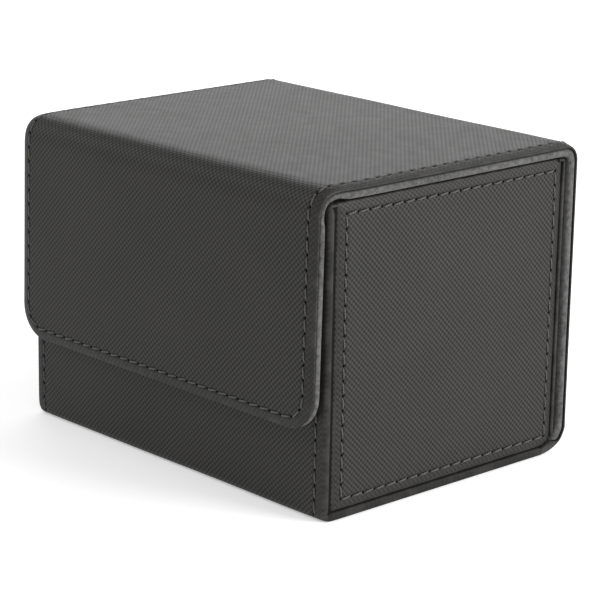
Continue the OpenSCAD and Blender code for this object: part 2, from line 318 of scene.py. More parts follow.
def shell(name, sheet, surfaces, seam, margin, shades, material, grain_side=1):
    """A closed piece between the outer and inner surface of a sheet.

    seam lists, for each edge that a seam may follow, its (stitch count, inset) on the grid, and margin is
    the inset of the seam's line. shades are float attributes: one array, or one for each surface.
    grain_side is -1 for a sheet whose embossing leans the other way.
    """
    rows, columns = sheet.key.shape
    index = np.arange(rows * columns).reshape(rows, columns)
    rim = np.concatenate([index[0, :-1], index[:-1, -1], index[-1, :0:-1], index[:0:-1, 0]])
    after = np.roll(rim, -1)
    count = rows * columns
    outer_faces = grid_faces(rows, columns)
    wall = np.stack([rim, after, after + count, rim + count], -1)
    faces = np.concatenate([outer_faces, outer_faces[:, ::-1] + count, wall])
    corners = faces % count
    x, s = sheet.flat()
    fold = np.where(sheet.key < 0, -sheet.key, 0)
    lateral = sheet.column_key[None, :] <= sheet.row_key[:, None]
    u = x + np.where(lateral, sheet.side * fold, 0)
    v = s + np.where(lateral, 0, fold)
    grain_uv = np.stack([grain_side * u.ravel()[corners], v.ravel()[corners]], -1)
    nearest = np.stack([inset.ravel()[corners].mean(1) for _, inset in seam]).argmin(0)
    seam_uv = np.zeros(corners.shape + (2,))
    for i, (stitches, inset) in enumerate(seam):
        here = nearest == i
        apart = inset.ravel()[corners[here]]
        apart = np.where(apart.max(1, keepdims=True) > FAR / 2, FAR, apart)
        seam_uv[here] = np.stack([stitches.ravel()[corners[here]], apart - margin], -1)
    layers = {"grain": grain_uv.reshape(-1, 2), "seam": seam_uv.reshape(-1, 2)}
    verts = np.concatenate([surface.reshape(-1, 3) for surface in surfaces])
    floats = {}
    for shade, values in shades.items():
        both = values if isinstance(values, tuple) else (values, values)
        floats[shade] = np.concatenate([np.broadcast_to(value, sheet.key.shape).ravel() for value in both])
    return mesh_object(name, verts, faces.tolist(), layers, floats, material)


# ---------- sections of the sheets ----------


def sloped(inset, margin, drop):
    """Height of a panel that falls away outside its seam by drop."""
    return -drop * np.clip((margin - inset) / margin, 0, 1) ** SLOPE_POWER


def seam_dip(inset, margin):
    """Depth of the channel that the seam's thread pulls into the sheet."""
    return -SEAM_DEPTH * np.exp(-(((inset - margin) / SEAM_HALF_W) ** 2))


def slack(x, s, amount):
    """Slow unevenness of a hand-wrapped panel."""
    return amount * (np.sin(x / 13 + 0.8) * np.cos(s / 19) + 0.5 * np.sin(x / 7.3 + s / 11 + 2.1))


def round_edge(key):
    """Inset of a cut edge: a half round from the outer face to the inner face."""
    return np.where(key < 0, EDGE_R * (1 - np.sin(-math.pi * np.clip(key, -1, 0))), key)


def under_round_edge(key):
    return np.maximum(key, EDGE_R)


class WrappedEdge:
    """An edge turned round a board: a quarter round, then a wall whose foot is tucked in.

    radius is the round's width and drop(s) its depth. face(inset, x, s) is the height of the panel over its
    path, bare the same without its seam, and wall_depth(s) how far the wall reaches below the path.
    """

    def __init__(self, radius, drop, face, bare, wall_depth, tuck=0.0):
        self.radius, self.drop, self.tuck = radius, drop, tuck
        self.face, self.bare, self.wall_depth = face, bare, wall_depth
        self.inner_r = max(radius - LEATHER_T, 0)

    def parts(self, key):
        """Angles travelled round the edge and down the wall, both from 0 to a right angle."""
        turn = np.clip(-2 * key, 0, 1) * math.pi / 2
        down = np.clip(-2 * key - 1, 0, 1) * math.pi / 2
        return turn, down

    def height(self, key, s, edge, drop, flat):
        """Height of a face that is flat up to the round and starts the round from edge."""
        turn, down = self.parts(key)
        rounded = edge - drop * (1 - np.cos(turn))
        wall = rounded + (np.minimum(-self.wall_depth(s), rounded) - rounded) * np.sin(down)
        return np.where(key < 0, wall, flat)

    def outer_inset(self, key):
        turn, down = self.parts(key)
        return np.where(key < 0, self.radius * (1 - np.sin(turn)) + self.tuck * (1 - np.cos(down)), key)

    def outer_height(self, key, x, s):
        edge = self.bare(np.full(key.shape, self.radius), x, s)
        return self.height(key, s, edge, self.drop(s), self.face(key, x, s))

    def inner_inset(self, key):
        turn, _ = self.parts(key)
        rounded = LEATHER_T + self.inner_r * (1 - np.sin(turn))
        return np.where(key < 0, rounded, np.maximum(key, LEATHER_T + self.inner_r))

    def inner_height(self, key, x, s):
        start = LEATHER_T + self.inner_r
        edge = self.bare(np.full(key.shape, start), x, s) - LEATHER_T
        flat = self.bare(np.maximum(key, start), x, s) - LEATHER_T
        return self.height(key, s, edge, np.clip(self.drop(s) - LEATHER_T, 0, None), flat)

    def surfaces(self, sheet):
        """The outer and the inner face of a sheet with this edge."""
        outer = sheet.points(self.outer_inset, self.outer_height)
        return outer, sheet.points(self.inner_inset, self.inner_height)


# ---------- materials ----------


class Nodes:
    """A new material, and short calls that add linked nodes to it."""

    def __init__(self, name):
        self.material = bpy.data.materials.new(name)
        self.material.use_nodes = True
        self.tree = self.material.node_tree

    def link(self, value, socket):
        if isinstance(value, bpy.types.NodeSocket):
            self.tree.links.new(value, socket)
        else:
            socket.default_value = value

    def fill(self, node, inputs):
        """Sets a node's inputs, each to a constant or another node's output."""
        for name, value in inputs.items():
            self.link(value, node.inputs[name])
        return node

    def add(self, kind, inputs):
        return self.fill(self.tree.nodes.new("ShaderNode" + kind), inputs)

    def finish(self, colour, rough, others):
        """The material, with its shader's inputs set."""
        shader = self.tree.nodes["Principled BSDF"]
        self.fill(shader, {"Base Color": colour, "Roughness": rough, **others})
        return self.material

    def math(self, operation, *values, clamp=False):
        node = self.add("Math", {})
        node.operation, node.use_clamp = operation, clamp
        return self.fill(node, dict(enumerate(values))).outputs[0]

    def scaled(self, value, factor, offset, clamp=False):
        """A value times a factor, plus an offset."""
        return self.math("MULTIPLY_ADD", value, factor, offset, clamp=clamp)

    def swing(self, noise, factor, offset):
        """The same for a noise's swing about its middle."""
        return self.scaled(self.math("SUBTRACT", noise, 0.5), factor, offset)

    def rest(self, value):
        """What a share leaves of 1."""
        return self.math("SUBTRACT", 1.0, value)

    def wave(self, value):
        """The size of a sine."""
        return self.math("ABSOLUTE", self.math("SINE", value))

    def uv(self, layer):
        node = self.add("UVMap", {})
        node.uv_map = layer
        split = self.add("SeparateXYZ", {0: node.outputs[0]})
        return split.outputs[0], split.outputs[1]

    def attribute(self, name):
        node = self.add("Attribute", {})
        node.attribute_name = name
        return node.outputs["Fac"]

    def noise(self, scale, detail, roughness):
        place = self.add("TexCoord", {}).outputs["Object"]
        inputs = {"Scale": scale, "Detail": detail, "Roughness": roughness, "Vector": place}
        return self.add("TexNoise", inputs).outputs["Fac"]

    def ramp(self, value, *stops):
        """A colour between two, each given with the value that it stands for."""
        node = self.add("ValToRGB", {0: value})
        for element, (position, colour) in zip(list(node.color_ramp.elements), stops, strict=True):
            element.position = position
            element.color = (*colour, 1)
        return node.outputs[0]

    def mix(self, factor, a, b):
        """A colour between the output a and the constant b."""
        node = self.add("Mix", {})
        node.data_type = "RGBA"
        return self.fill(node, {0: factor, 6: a, 7: (*b, 1)}).outputs[2]

    def step(self, value, low, high):
        """A smooth step from 0 at low to 1 at high."""
        node = self.add("MapRange", {"Value": value, "From Min": low, "From Max": high})
        node.interpolation_type = "SMOOTHSTEP"
        return node.outputs[0]

    def bump(self, height, distance):
        return self.add("Bump", {"Height": height, "Strength": 1.0, "Distance": distance * MM}).outputs[0]


GRAIN_PITCH = 0.955  # of the embossed lattice, along each of its two diagonals
GRAIN_DEPTH = 0.075
LEATHER_DARK = (0.0055, 0.0052, 0.0050)
LEATHER_LIGHT = (0.0312, 0.0292, 0.0276)
# paler colour of edge wear, which on the cover is also a painted highlight where its edges turn to the
# light
LEATHER_WORN_AND_LIT = (0.050, 0.048, 0.046)
# painted shade: near black, for the needle holes and for the shade painted into grooves, folds and creases
PAINTED_SHADE_BLACK = (0.001, 0.001, 0.001)
HOLE_INNER_R, HOLE_OUTER_R = 0.14, 0.36  # between these a needle hole fades out


def leather_material():
    """Embossed artificial leather: a diagonal lattice of pillows, with needle holes and puckered seams."""
    n = Nodes("embossed_leather")
    u, v = n.uv("grain")
    turn = math.pi * math.sqrt(0.5) / GRAIN_PITCH
    diagonals = n.math("ADD", u, v), n.math("SUBTRACT", u, v)
    main, cross = (n.math("POWER", n.wave(n.math("MULTIPLY", way, turn)), 1.6) for way in diagonals)
    pillow = n.scaled(cross, 0.40, n.math("MULTIPLY", main, 0.60))
    raised = n.math("SUBTRACT", pillow, 0.54)
    lattice = n.math("MULTIPLY", raised, n.attribute("grain_amount"))
    fine = n.noise(2600, 3, 0.6)
    broad = n.noise(45, 2, 0.5)
    mottled = n.noise(300, 2, 0.5)

    count, across = n.uv("seam")
    off_hole = n.math("SUBTRACT", n.math("FRACT", n.math("ADD", count, 0.5)), 0.5)
    beside = n.math("MULTIPLY", off_hole, STITCH_PITCH)
    distance = n.math("SQRT", n.math("ADD", n.math("POWER", beside, 2), n.math("POWER", across, 2)))
    hole = n.rest(n.step(distance, HOLE_INNER_R, HOLE_OUTER_R))
    apart = n.math("ABSOLUTE", across)
    # mask of the painted shade along the seam's channel, about a millimetre each side of the seam
    seam_shade = n.rest(n.step(apart, 0.1, 1.1))
    near_seam = n.rest(n.step(apart, 0.2, 2.2))
    pucker = n.math("MULTIPLY", n.math("COSINE", n.math("MULTIPLY", count, 2 * math.pi)), near_seam)

    toned = n.scaled(lattice, 0.6, 0.5)
    toned = n.swing(mottled, 0.35, toned)
    toned = n.swing(broad, 0.30, toned)
    toned = n.swing(fine, 0.25, toned)
    colour = n.ramp(toned, (0.0, LEATHER_DARK), (1.0, LEATHER_LIGHT))
    # a paler band along the edges: edge wear, widened on the cover into a painted highlight
    worn_and_lit = n.math("MULTIPLY", n.attribute("wear_and_highlight"), n.step(mottled, 0.42, 0.62))
    colour = n.mix(n.math("MULTIPLY", worn_and_lit, 0.45), colour, LEATHER_WORN_AND_LIT)
    # painted shade along the seam's channel
    colour = n.mix(n.math("MULTIPLY", seam_shade, 0.4), colour, LEATHER_DARK)
    # painted shade: the needle holes and the grooves, folds and creases are coloured near black
    painted_shade_mask = n.math("MAXIMUM", hole, n.attribute("painted_shade"))
    colour = n.mix(painted_shade_mask, colour, PAINTED_SHADE_BLACK)

    rough = n.scaled(raised, -0.08, 0.58)
    rough = n.swing(mottled, 0.14, rough)
    # the painted shade is also rougher and has no gloss
    rough = n.scaled(painted_shade_mask, 0.3, rough, clamp=True)
    gloss = n.scaled(lattice, 0.3, 0.27)
    gloss = n.math("MULTIPLY", gloss, n.rest(painted_shade_mask), clamp=True)

    embossed = n.scaled(fine, 0.16, lattice)
    embossed = n.scaled(hole, -2.7, embossed)
    embossed = n.scaled(pucker, -0.5, embossed)
    normal = n.bump(embossed, GRAIN_DEPTH)
    return n.finish(colour, rough, {"Specular IOR Level": gloss, "Normal": normal})


SUEDE_DARK = (0.040, 0.039, 0.039)
SUEDE_LIGHT = (0.135, 0.133, 0.131)
# painted shade of the microfibre beside the leather and at its lower end
PAINTED_SUEDE_SHADE = (0.006, 0.006, 0.006)


def suede_material():
    """Short-napped microfibre: clumped fibres, brushed patches and a soft sheen."""
    n = Nodes("microfibre_suede")
    fibres = n.noise(3200, 4, 0.7)
    clumps = n.noise(900, 3, 0.6)
    brushed = n.noise(60, 3, 0.55)
    toned = n.swing(fibres, 1.6, 0.5)
    toned = n.swing(clumps, 1.6, toned)
    toned = n.swing(brushed, 0.8, toned)
    colour = n.ramp(toned, (0.1, SUEDE_DARK), (0.9, SUEDE_LIGHT))
    # painted shade beside the leather and at the microfibre's lower end
    colour = n.mix(n.attribute("painted_shade"), colour, PAINTED_SUEDE_SHADE)
    others = {
        "Specular IOR Level": 0.2,
        "Sheen Weight": 0.12,
        "Sheen Roughness": 0.5,
        "Sheen Tint": (0.9, 0.9, 0.88, 1),
        "Normal": n.bump(n.scaled(clumps, 0.8, fibres), 0.10),
    }
    return n.finish(colour, n.scaled(fibres, 0.1, 0.88), others)


THREAD_DARK = (0.022, 0.021, 0.020)
THREAD_LIGHT = (0.090, 0.086, 0.082)
PLY_TWIST = 4.2  # radians of twist for each millimetre of thread


def thread_material():
    """Waxed two-ply sewing thread."""
    n = Nodes("waxed_thread")
    along, around = n.uv("grain")
    ply = n.wave(n.scaled(along, PLY_TWIST, around))
    fibres = n.noise(4200, 3, 0.7)
    colour = n.ramp(n.swing(fibres, 0.8, ply), (0.0, THREAD_DARK), (1.0, THREAD_LIGHT))
    others = {"Specular IOR Level": 0.45, "Normal": n.bump(n.scaled(fibres, 0.5, ply), 0.05)}
    return n.finish(colour, n.scaled(fibres, 0.2, 0.42), others)


# painted shade: the boards are coloured near black, as they show only in the grooves between panels
BOARD_SHADE_DARK = (0.0050, 0.0049, 0.0048)
BOARD_SHADE_LIGHT = (0.0140, 0.0136, 0.0132)


def shaded_board_material():
    """Binder's board coloured near black as painted shade for the grooves where it shows: flecked pulp."""
    n = Nodes("binders_board_painted_shade")
    pulp = n.noise(900, 4, 0.7)
    colour = n.ramp(pulp, (0.3, BOARD_SHADE_DARK), (0.7, BOARD_SHADE_LIGHT))
    # next to no gloss, so that the painted shade stays dark
    others = {"Specular IOR Level": 0.05, "Normal": n.bump(pulp, 0.06)}
    return n.finish(colour, n.scaled(pulp, 0.2, 0.75), others)


def magnet_material():
    """Nickel plating with faint handling marks."""
    n = Nodes("nickel_plating")
    marks = n.noise(500, 4, 0.6)
    colour = n.ramp(marks, (0.3, (0.50, 0.49, 0.47)), (0.7, (0.66, 0.65, 0.63)))
    return n.finish(colour, n.scaled(marks, 0.25, 0.15), {"Metallic": 1.0})


def adhesive_material():
    """Yellowish double-sided film."""
    n = Nodes("adhesive_film")
    waves = n.noise(150, 3, 0.5)
    colour = n.ramp(waves, (0.3, (0.48, 0.45, 0.34)), (0.7, (0.60, 0.57, 0.46)))
    return n.finish(colour, n.scaled(waves, 0.3, 0.3), {})


LEATHER = leather_material()
SUEDE = suede_material()
THREAD = thread_material()


# ---------- tray ----------

RIM_R = 0.9  # outer radius of the leather over the tray's rim
CORNER_PINCH = 0.5  # how much narrower the front sheet is in the turn of its lower corner
CORNER_PINCH_W = 1.8
STRIP_DEPTH = 1.2  # how far the front's leather is turned back along the side
STRIP_TUCK = 0.35
LIP_H = 1.95  # height of the leather that is turned up from the bottom
FLAT_EDGE_DROP = 0.35


SOFTNESS = 0.05  # unevenness of the tray's panels
FOLD_SHADE = 0.6  # painted shade on the leather turned round an edge, in grooves and along outlines
LIP_SHADE = 0.3  # painted shade on the lip turned up from the bottom


def leather_shades(key, margin, border, painted_shade=0.0, wear_and_highlight_w=0.7):
    """Grain, full inside the seam, border outside it and faint on walls, then a paler band of edge wear and
    painted highlight, and painted shade.
    """
    grain = border + (1 - border) * smooth(key, margin - 0.3, margin + 0.3)
    grain = grain * (1 - 0.8 * smooth(-key, 0.2, 0.5))
    return {"grain_amount": grain, "wear_and_highlight": 1 - smooth(key, 0, wear_and_highlight_w), "painted_shade": painted_shade}


def edge_shade_ramp(sheet, start):
    """Painted shade, from a share of the way round an edge to its end."""
    return smooth(-sheet.key, start, start + 0.2)


def panel_heights(on_face, nearest, margin, slope):
    """A tray panel's height with its seam and without it, for nearest(inset, s) from its edges."""

    def bare(inset, x, s):
        return on_face(s) * sloped(nearest(inset, s), margin, slope)

    def face(inset, x, s):
        apart = nearest(inset, s)
        soft = slack(x, s, SOFTNESS) * smooth(apart, 3, 12)
        return bare(inset, x, s) + on_face(s) * seam_dip(apart, margin) + soft

    return face, bare


def tray_front():
    """The front panel's leather: over the rim, down the front and under the bottom."""
    bottom_end = reach("bottom_leather")[1][1]
    path = Path(
        (front_high[1], RIM_Z),
        180,
        [
            ("run", WALL_T - RIM_R),
            ("turn", RIM_R, 90),
            ("run", RIM_Z - RIM_R - WALL_T),
            ("turn", WALL_T, 90),
            ("run", bottom_end - front_high[1]),
        ],
    )
    face_top, face_foot, bottom = path.marks[2], path.marks[3], path.marks[4]
    turn_s = (face_foot + bottom) / 2

    def half(s):
        return HALF_TRAY - CORNER_PINCH * np.exp(-(((s - turn_s) / CORNER_PINCH_W) ** 2))

    sheet = Sheet(path, half, edge_keys(FRONT_EDGE_R, FRONT_SEAM), path.rows(ROW_STEP, TURN_STEP), along_x)

    def on_face(s):
        return smooth(s, face_top - 0.8, face_top + 0.6) * (1 - smooth(s, face_foot, bottom))

    def drop(s):
        return FLAT_EDGE_DROP + (FRONT_EDGE_R - FLAT_EDGE_DROP) * on_face(s)

    def wall_depth(s):
        deep = LEATHER_T + (STRIP_DEPTH - LEATHER_T) * smooth(s, path.marks[1], face_top + 1.5)
        return deep + (LIP_H - STRIP_DEPTH) * smooth(s, face_foot, bottom)

    face, bare = panel_heights(on_face, lambda inset, s: inset, FRONT_SEAM, FRONT_SLOPE)
    edge = WrappedEdge(FRONT_EDGE_R, drop, face, bare, wall_depth, STRIP_TUCK)
    surfaces = edge.surfaces(sheet)
    _, along = sheet.flat()
    stitched = (along > face_top + 0.5) & (along < face_foot + 1.5)
    seam = [((along - face_top) / STITCH_PITCH, np.where(stitched, np.clip(sheet.key, 0, FAR), FAR))]
    # painted shade on the walls round the front's edges, fainter on the lip turned up from the bottom
    lip_shade_mask = LIP_SHADE * edge_shade_ramp(sheet, 0.2) * smooth(along, face_foot, bottom)
    painted_shade = np.maximum(FOLD_SHADE * edge_shade_ramp(sheet, 0.6) * on_face(along), lip_shade_mask)
    shades = leather_shades(sheet.key, FRONT_SEAM, 0.45, painted_shade)
    leather = shell("tray_front_leather", sheet, surfaces, seam, FRONT_SEAM, shades, LEATHER)
    hand_over(leather, "tray", ["front_leather", "bottom_leather"])

    count = int((face_foot + 1.0 - face_top) / STITCH_PITCH)
    places = [
        (side * (HALF_TRAY - FRONT_SEAM), face_top + (i + 0.5) * STITCH_PITCH, 0, 1)
        for side in (-1, 1)
        for i in range(count)
    ]
    stitches("tray_front_stitching", path, along_x, places, "tray", ["front_stitching"])


PANEL_EDGE_R = 0.6
PANEL_REACH = 0.2  # how far the side panels' soft edges reach into the groove behind them
PANEL_FOOT = 0.15  # the groove's extra height below them
PANEL_WALL = 0.9  # how much deeper their turned edges are than the leather


def tray_side(side, node_side):
    """A side panel's leather, its seam round all four edges, turned over the rim at the top."""
    rear_y = side_high[1] + PANEL_REACH
    middle_y, half_y = (side_low[1] + rear_y) / 2, (rear_y - side_low[1]) / 2

    def place(x, point):
        return np.stack([-side * point[..., 0], middle_y + x, point[..., 1]], -1)

    path = Path(
        (-(HALF_TRAY - WALL_T), RIM_Z),
        180,
        [("run", WALL_T - RIM_R), ("turn", RIM_R, 90), ("run", RIM_Z - RIM_R - side_low[2] - PANEL_FOOT)],
    )
    face_top = path.marks[2]
    rows = path.rows(ROW_STEP, TURN_STEP)
    head = [PANEL_SEAM + d for d in SEAM_STEPS] + [1.2, 1.6, 3.7, 4.3, 5.0]
    head_rows = face_top - RIM_R + np.array(head)
    rows = np.sort(np.concatenate([rows[(rows < face_top + 0.2) | (rows > face_top + 5)], head_rows]))
    keys = edge_keys(PANEL_EDGE_R, PANEL_SEAM)
    sheet = Sheet(path, lambda s: half_y, keys, rows, place, foot=True, corner_r=0.6)

    def head_inset(s):
        """Distance below the rim's outer edge."""
        return s - face_top + RIM_R

    def on_face(s):
        return smooth(s, path.marks[1], face_top)

    def nearest(inset, s):
        return np.minimum(inset, head_inset(s))

    def wall_depth(s):
        return LEATHER_T + PANEL_WALL * smooth(s, path.marks[1], face_top + 1.5)

    face, bare = panel_heights(on_face, nearest, PANEL_SEAM, SIDE_SLOPE)
    edge = WrappedEdge(PANEL_EDGE_R, lambda s: PANEL_EDGE_R, face, bare, wall_depth)
    surfaces = edge.surfaces(sheet)
    x, s = sheet.flat()
    tall = path.length - face_top + RIM_R - 2 * PANEL_SEAM
    wide = 2 * (half_y - PANEL_SEAM)
    tall_count, wide_count = round(tall / STITCH_PITCH), round(wide / STITCH_PITCH)
    down = (head_inset(s) - PANEL_SEAM) * tall_count / tall
    over = (x + wide / 2) * wide_count / wide
    beyond = np.where(s < face_top - 0.2, FAR, 0)
    lateral = np.clip(half_y - np.abs(x), 0, FAR)
    seam = [
        (down, np.maximum(lateral, beyond)),
        (over, np.maximum(np.clip(path.length - s, 0, FAR), beyond)),
        (over, np.maximum(np.clip(head_inset(s), 0, FAR), beyond)),
    ]
    # painted shade on the walls round the panel's edges, in its grooves
    painted_shade = FOLD_SHADE * edge_shade_ramp(sheet, 0.3)
    shades = leather_shades(nearest(sheet.key, s), PANEL_SEAM, 0.7, painted_shade)
    name = f"tray_{node_side}"
    leather = shell(f"{name}_leather", sheet, surfaces, seam, PANEL_SEAM, shades, LEATHER, -1)
    hand_over(leather, "tray", [f"{node_side}_leather"])

    first = face_top - RIM_R + PANEL_SEAM
    downward = [first + (i + 0.5) * tall / tall_count for i in range(tall_count)]
    crosswise = [-wide / 2 + (i + 0.5) * wide / wide_count for i in range(wide_count)]
    places = [(edge * wide / 2, s, 0, 1) for edge in (-1, 1) for s in downward]
    places += [(x, s, 1, 0) for s in (first, first + tall) for x in crosswise]
    stitches(f"{name}_stitching", path, place, places, "tray", [f"{node_side}_stitching"])


REAR_STRIP = 0.2  # how far the rear leather's turned edges reach forward of it
REAR_TUCK = 0.3
REAR_ROW_STEP = 4.0


def tray_rear():
    """The leather over the tray's rear wall and its rim, hidden behind the cover's back."""
    path = Path(
        (rear_high[1], rear_low[2]),
        90,
        [("run", RIM_Z - RIM_R - rear_low[2]), ("turn", RIM_R, 90), ("run", WALL_T - RIM_R)],
    )
    rows = path.rows(REAR_ROW_STEP, TURN_STEP)
    sheet = Sheet(path, lambda s: HALF_TRAY, PLAIN_KEYS, rows, along_x)

    def flat(inset, x, s):
        return 0.0

    def wall_depth(s):
        return LEATHER_T + REAR_STRIP * (1 - smooth(s, path.marks[1] - 0.8, path.marks[1]))

    edge = WrappedEdge(EDGE_R, lambda s: EDGE_R, flat, flat, wall_depth, REAR_TUCK)
    surfaces = edge.surfaces(sheet)
    shades = leather_shades(sheet.key, 0.0, 1.0)
    no_seam = [(np.zeros(sheet.key.shape), np.full(sheet.key.shape, FAR))]
    leather = shell("tray_rear_leather", sheet, surfaces, no_seam, 0.0, shades, LEATHER)
    hand_over(leather, "tray", ["rear_leather"])


# ---------- stitches ----------

RINGS = 13
AROUND = 10
STITCH_SINK = 0.55  # how far a stitch's ends go down into its needle holes
PLY_BULGE = 0.14  # how far the plies stand out, as a share of the thread's radius
SLANT_SPREAD = 1.5  # unevenness of the stitches' slant, in degrees
SIZE_SPREAD = 0.04  # unevenness of their length, as a share of it


def next_one(j):
    return (j + 1) % AROUND


def one_stitch():
    """One stitch along X, arching over Z = 0, with its ends pulled down into the needle holes."""
    v = np.linspace(-1, 1, RINGS)
    angle = np.arange(AROUND) * 2 * math.pi / AROUND
    x = v * STITCH_LEN / 2
    rise = -STITCH_SINK * np.abs(v) ** 6
    radius = THREAD_R * np.sqrt(np.clip(1 - np.abs(v) ** 10, 0.05, 1))
    lobes = 1 + PLY_BULGE * np.cos(2 * (angle[None, :] - PLY_TWIST * x[:, None]))
    ring = radius[:, None] * lobes
    points = np.stack(
        [x[:, None] + 0 * ring, ring * np.cos(angle), rise[:, None] + ring * np.sin(angle)], -1
    )
    ends = np.array([[x[0] - 0.03, 0, rise[0]], [x[-1] + 0.03, 0, rise[-1]]])
    verts = np.concatenate([points.reshape(-1, 3), ends])
    uv = np.stack([x[:, None] + 0 * ring, angle[None, :] + 0 * ring], -1).reshape(-1, 2)
    uv = np.concatenate([uv, [[x[0], 0], [x[-1], 0]]])
    faces = []
    for i in range(RINGS - 1):
        a, b = i * AROUND, (i + 1) * AROUND
        for j in range(AROUND):
            k = next_one(j)
            faces.append([a + j, b + j, b + k, a + k])
    first, last = len(verts) - 2, len(verts) - 1
    for j in range(AROUND):
        k = next_one(j)
        faces.append([first, j, k, k])
        faces.append([last, b + k, b + j, b + j])
    return verts, uv, np.array(faces)


def stitches(name, path, place, places, motion, nodes, under=None):
    """Stitches as one piece. Each place is (x, s) on the sheet and the seam's direction (dx, ds) there.

    under(x, s) is the height of the sheet's inner face, for stitches on that face.
    """
    verts, uv, faces = one_stitch()
    rng = np.random.default_rng(len(places) + len(name))
    all_verts = []
    for x, s, dx, ds in places:
        lift = under(x, s) if under else -SEAM_DEPTH + 0.95 * THREAD_R

        def spot(across, along, up):
            point, normal = path.at(s + along)
            return place(x + across, point + normal * up)

        centre = spot(0, 0, lift)
        up = spot(0, 0, lift + 1) - centre
        tangent = spot(dx, ds, lift) - spot(-dx, -ds, lift)
        tangent -= up * (tangent @ up)
        tangent /= np.linalg.norm(tangent)
        up = -up if under else up
        beside = np.cross(up, tangent)
        slant = math.radians(THREAD_SLANT + rng.uniform(-SLANT_SPREAD, SLANT_SPREAD))
        along = tangent * math.cos(slant) + beside * math.sin(slant)
        cross = np.cross(up, along)
        size = 1 + rng.uniform(-SIZE_SPREAD, SIZE_SPREAD)
        turned = verts[:, :1] * size * along + verts[:, 1:2] * cross + verts[:, 2:] * up
        all_verts.append(turned + centre)
    uv = np.concatenate([uv + np.array([i * 1.7, 0]) for i in range(len(places))])
    faces = np.concatenate([faces + i * len(verts) for i in range(len(places))])
    polygons = [tuple(dict.fromkeys(face)) for face in faces.tolist()]
    layers = {"grain": uv[np.concatenate(polygons)]}
    thread = mesh_object(name, np.concatenate(all_verts), polygons, layers, {}, THREAD, merge=False)
    hand_over(thread, motion, nodes)


# ---------- cover ----------

BEND_EASE = 15.0  # degrees of wider bend before and after the tight middle of the front bend
EASE_R = 1.62 * FRONT_BEND_R
ease_sin, ease_cos = math.sin(math.radians(BEND_EASE)), math.cos(math.radians(BEND_EASE))
TIGHT_R = (FRONT_BEND_R - EASE_R * (1 + ease_sin - ease_cos)) / (ease_cos - ease_sin)
flap_drop = TOP_Z - FRONT_BEND_R - flap_low[2]
flap_out = lid_low[1] - flap_low[1]
flap_len = math.sqrt(flap_out**2 + flap_drop**2 - FRONT_BEND_R**2)
flap_lean = math.degrees(
    math.atan2(flap_len, FRONT_BEND_R) - math.acos(flap_out / math.hypot(FRONT_BEND_R, flap_len))
)
cover_path = Path(
    (cover_high[1] - BASE_BEND_R, 0),
    0,
    [
        ("turn", BASE_BEND_R, 90),
        ("run", TOP_Z - REAR_BEND_R - BASE_BEND_R),
        ("turn", REAR_BEND_R, 90),
        ("run", lid_high[1] - lid_low[1]),
        ("turn", EASE_R, BEND_EASE),
        ("turn", TIGHT_R, 90 - 2 * BEND_EASE),
        ("turn", EASE_R, BEND_EASE - flap_lean),
        ("run", flap_len),
    ],
)
BACK_S, REAR_BEND_S, LID_S, FRONT_BEND_S, _, _, FLAP_S, FOOT_S = cover_path.marks[1:]
LID_MIDDLE_S = (LID_S + FRONT_BEND_S) / 2
SEAM_CORNER_R = FLAP_CORNER_R - COVER_SEAM
SEAM_ARC = SEAM_CORNER_R * math.pi / 2
CORNER_X = HALF_FLAP - FLAP_CORNER_R  # where the straight part of the flap's lower edge ends
CORNER_S = FOOT_S - FLAP_CORNER_R  # where the straight part of its side edges ends


def cover_half(s):
    """Half width of the cover: the tray's under it, then wider, and a little narrower at the flap."""
    start = HALF_TRAY + (HALF_COVER - HALF_TRAY) * smooth(s, 0, 0.6 * BACK_S)
    return start + (HALF_FLAP - HALF_COVER) * smooth(s, FRONT_BEND_S - 10, FLAP_S)


def cover_boarded(s):
    """1 where the cover has a board in it and 0 in its bends."""
    on_back = smooth(s, LINING_START * BACK_S, BACK_S + 2)
    on_back = on_back * (1 - smooth(s, REAR_BEND_S - 2.5, REAR_BEND_S + 0.5))
    on_lid = smooth(s, LID_S - 0.5, LID_S + 2.5) * (1 - smooth(s, FRONT_BEND_S - 2.5, FRONT_BEND_S + 0.5))
    return on_back + on_lid + smooth(s, FLAP_S - 0.5, FLAP_S + 2.5)


def stitched_share(s):
    """0 on the base bend, which has no seam, and 1 on the rest of the cover."""
    return smooth(s, BACK_S - 3, BACK_S)


def cover_bare(inset, x, s):
    """Height of the cover's leather without its seam."""
    return (0.3 + 0.7 * stitched_share(s)) * sloped(inset, COVER_SEAM, COVER_SLOPE)


def cover_face(inset, x, s):
    dip = stitched_share(s) * seam_dip(inset, COVER_SEAM)
    return cover_bare(inset, x, s) + dip + slack(x, s, COVER_SOFTNESS) * smooth(inset, 3, 12)


def cover_leather_outer(key, x, s):
    turn = -math.pi * np.clip(key, -1, 0)
    thick = LEATHER_T + turned_under(key, s)
    edge = cover_bare(np.full(key.shape, EDGE_R), x, s) - thick / 2 * (1 - np.cos(turn))
    return np.where(key < 0, edge, cover_face(key, x, s))


COVER_SOFTNESS = 0.06  # unevenness of the cover
LINING_START = 0.30  # share of the base bend below the microfibre's lower edge
FOLD_END = 0.52  # share of the base bend below the end of the leather's turned edge
FOLD_W = 1.3  # width of that turned edge


def turned_under(key, s):
    """Extra thickness where the leather's edge is folded double round the base bend."""
    fold = LIP_H - LEATHER_T + (BEND_HEM_T - LIP_H - 0.15) * smooth(s, 0, 3)
    along = 1 - smooth(s, LINING_START * BACK_S, FOLD_END * BACK_S)
    return fold * along * (1 - smooth(key, FOLD_W - 0.5, FOLD_W))


def cover_leather_inner(key, x, s):
    return cover_bare(np.maximum(key, EDGE_R), x, s) - LEATHER_T - turned_under(key, s)


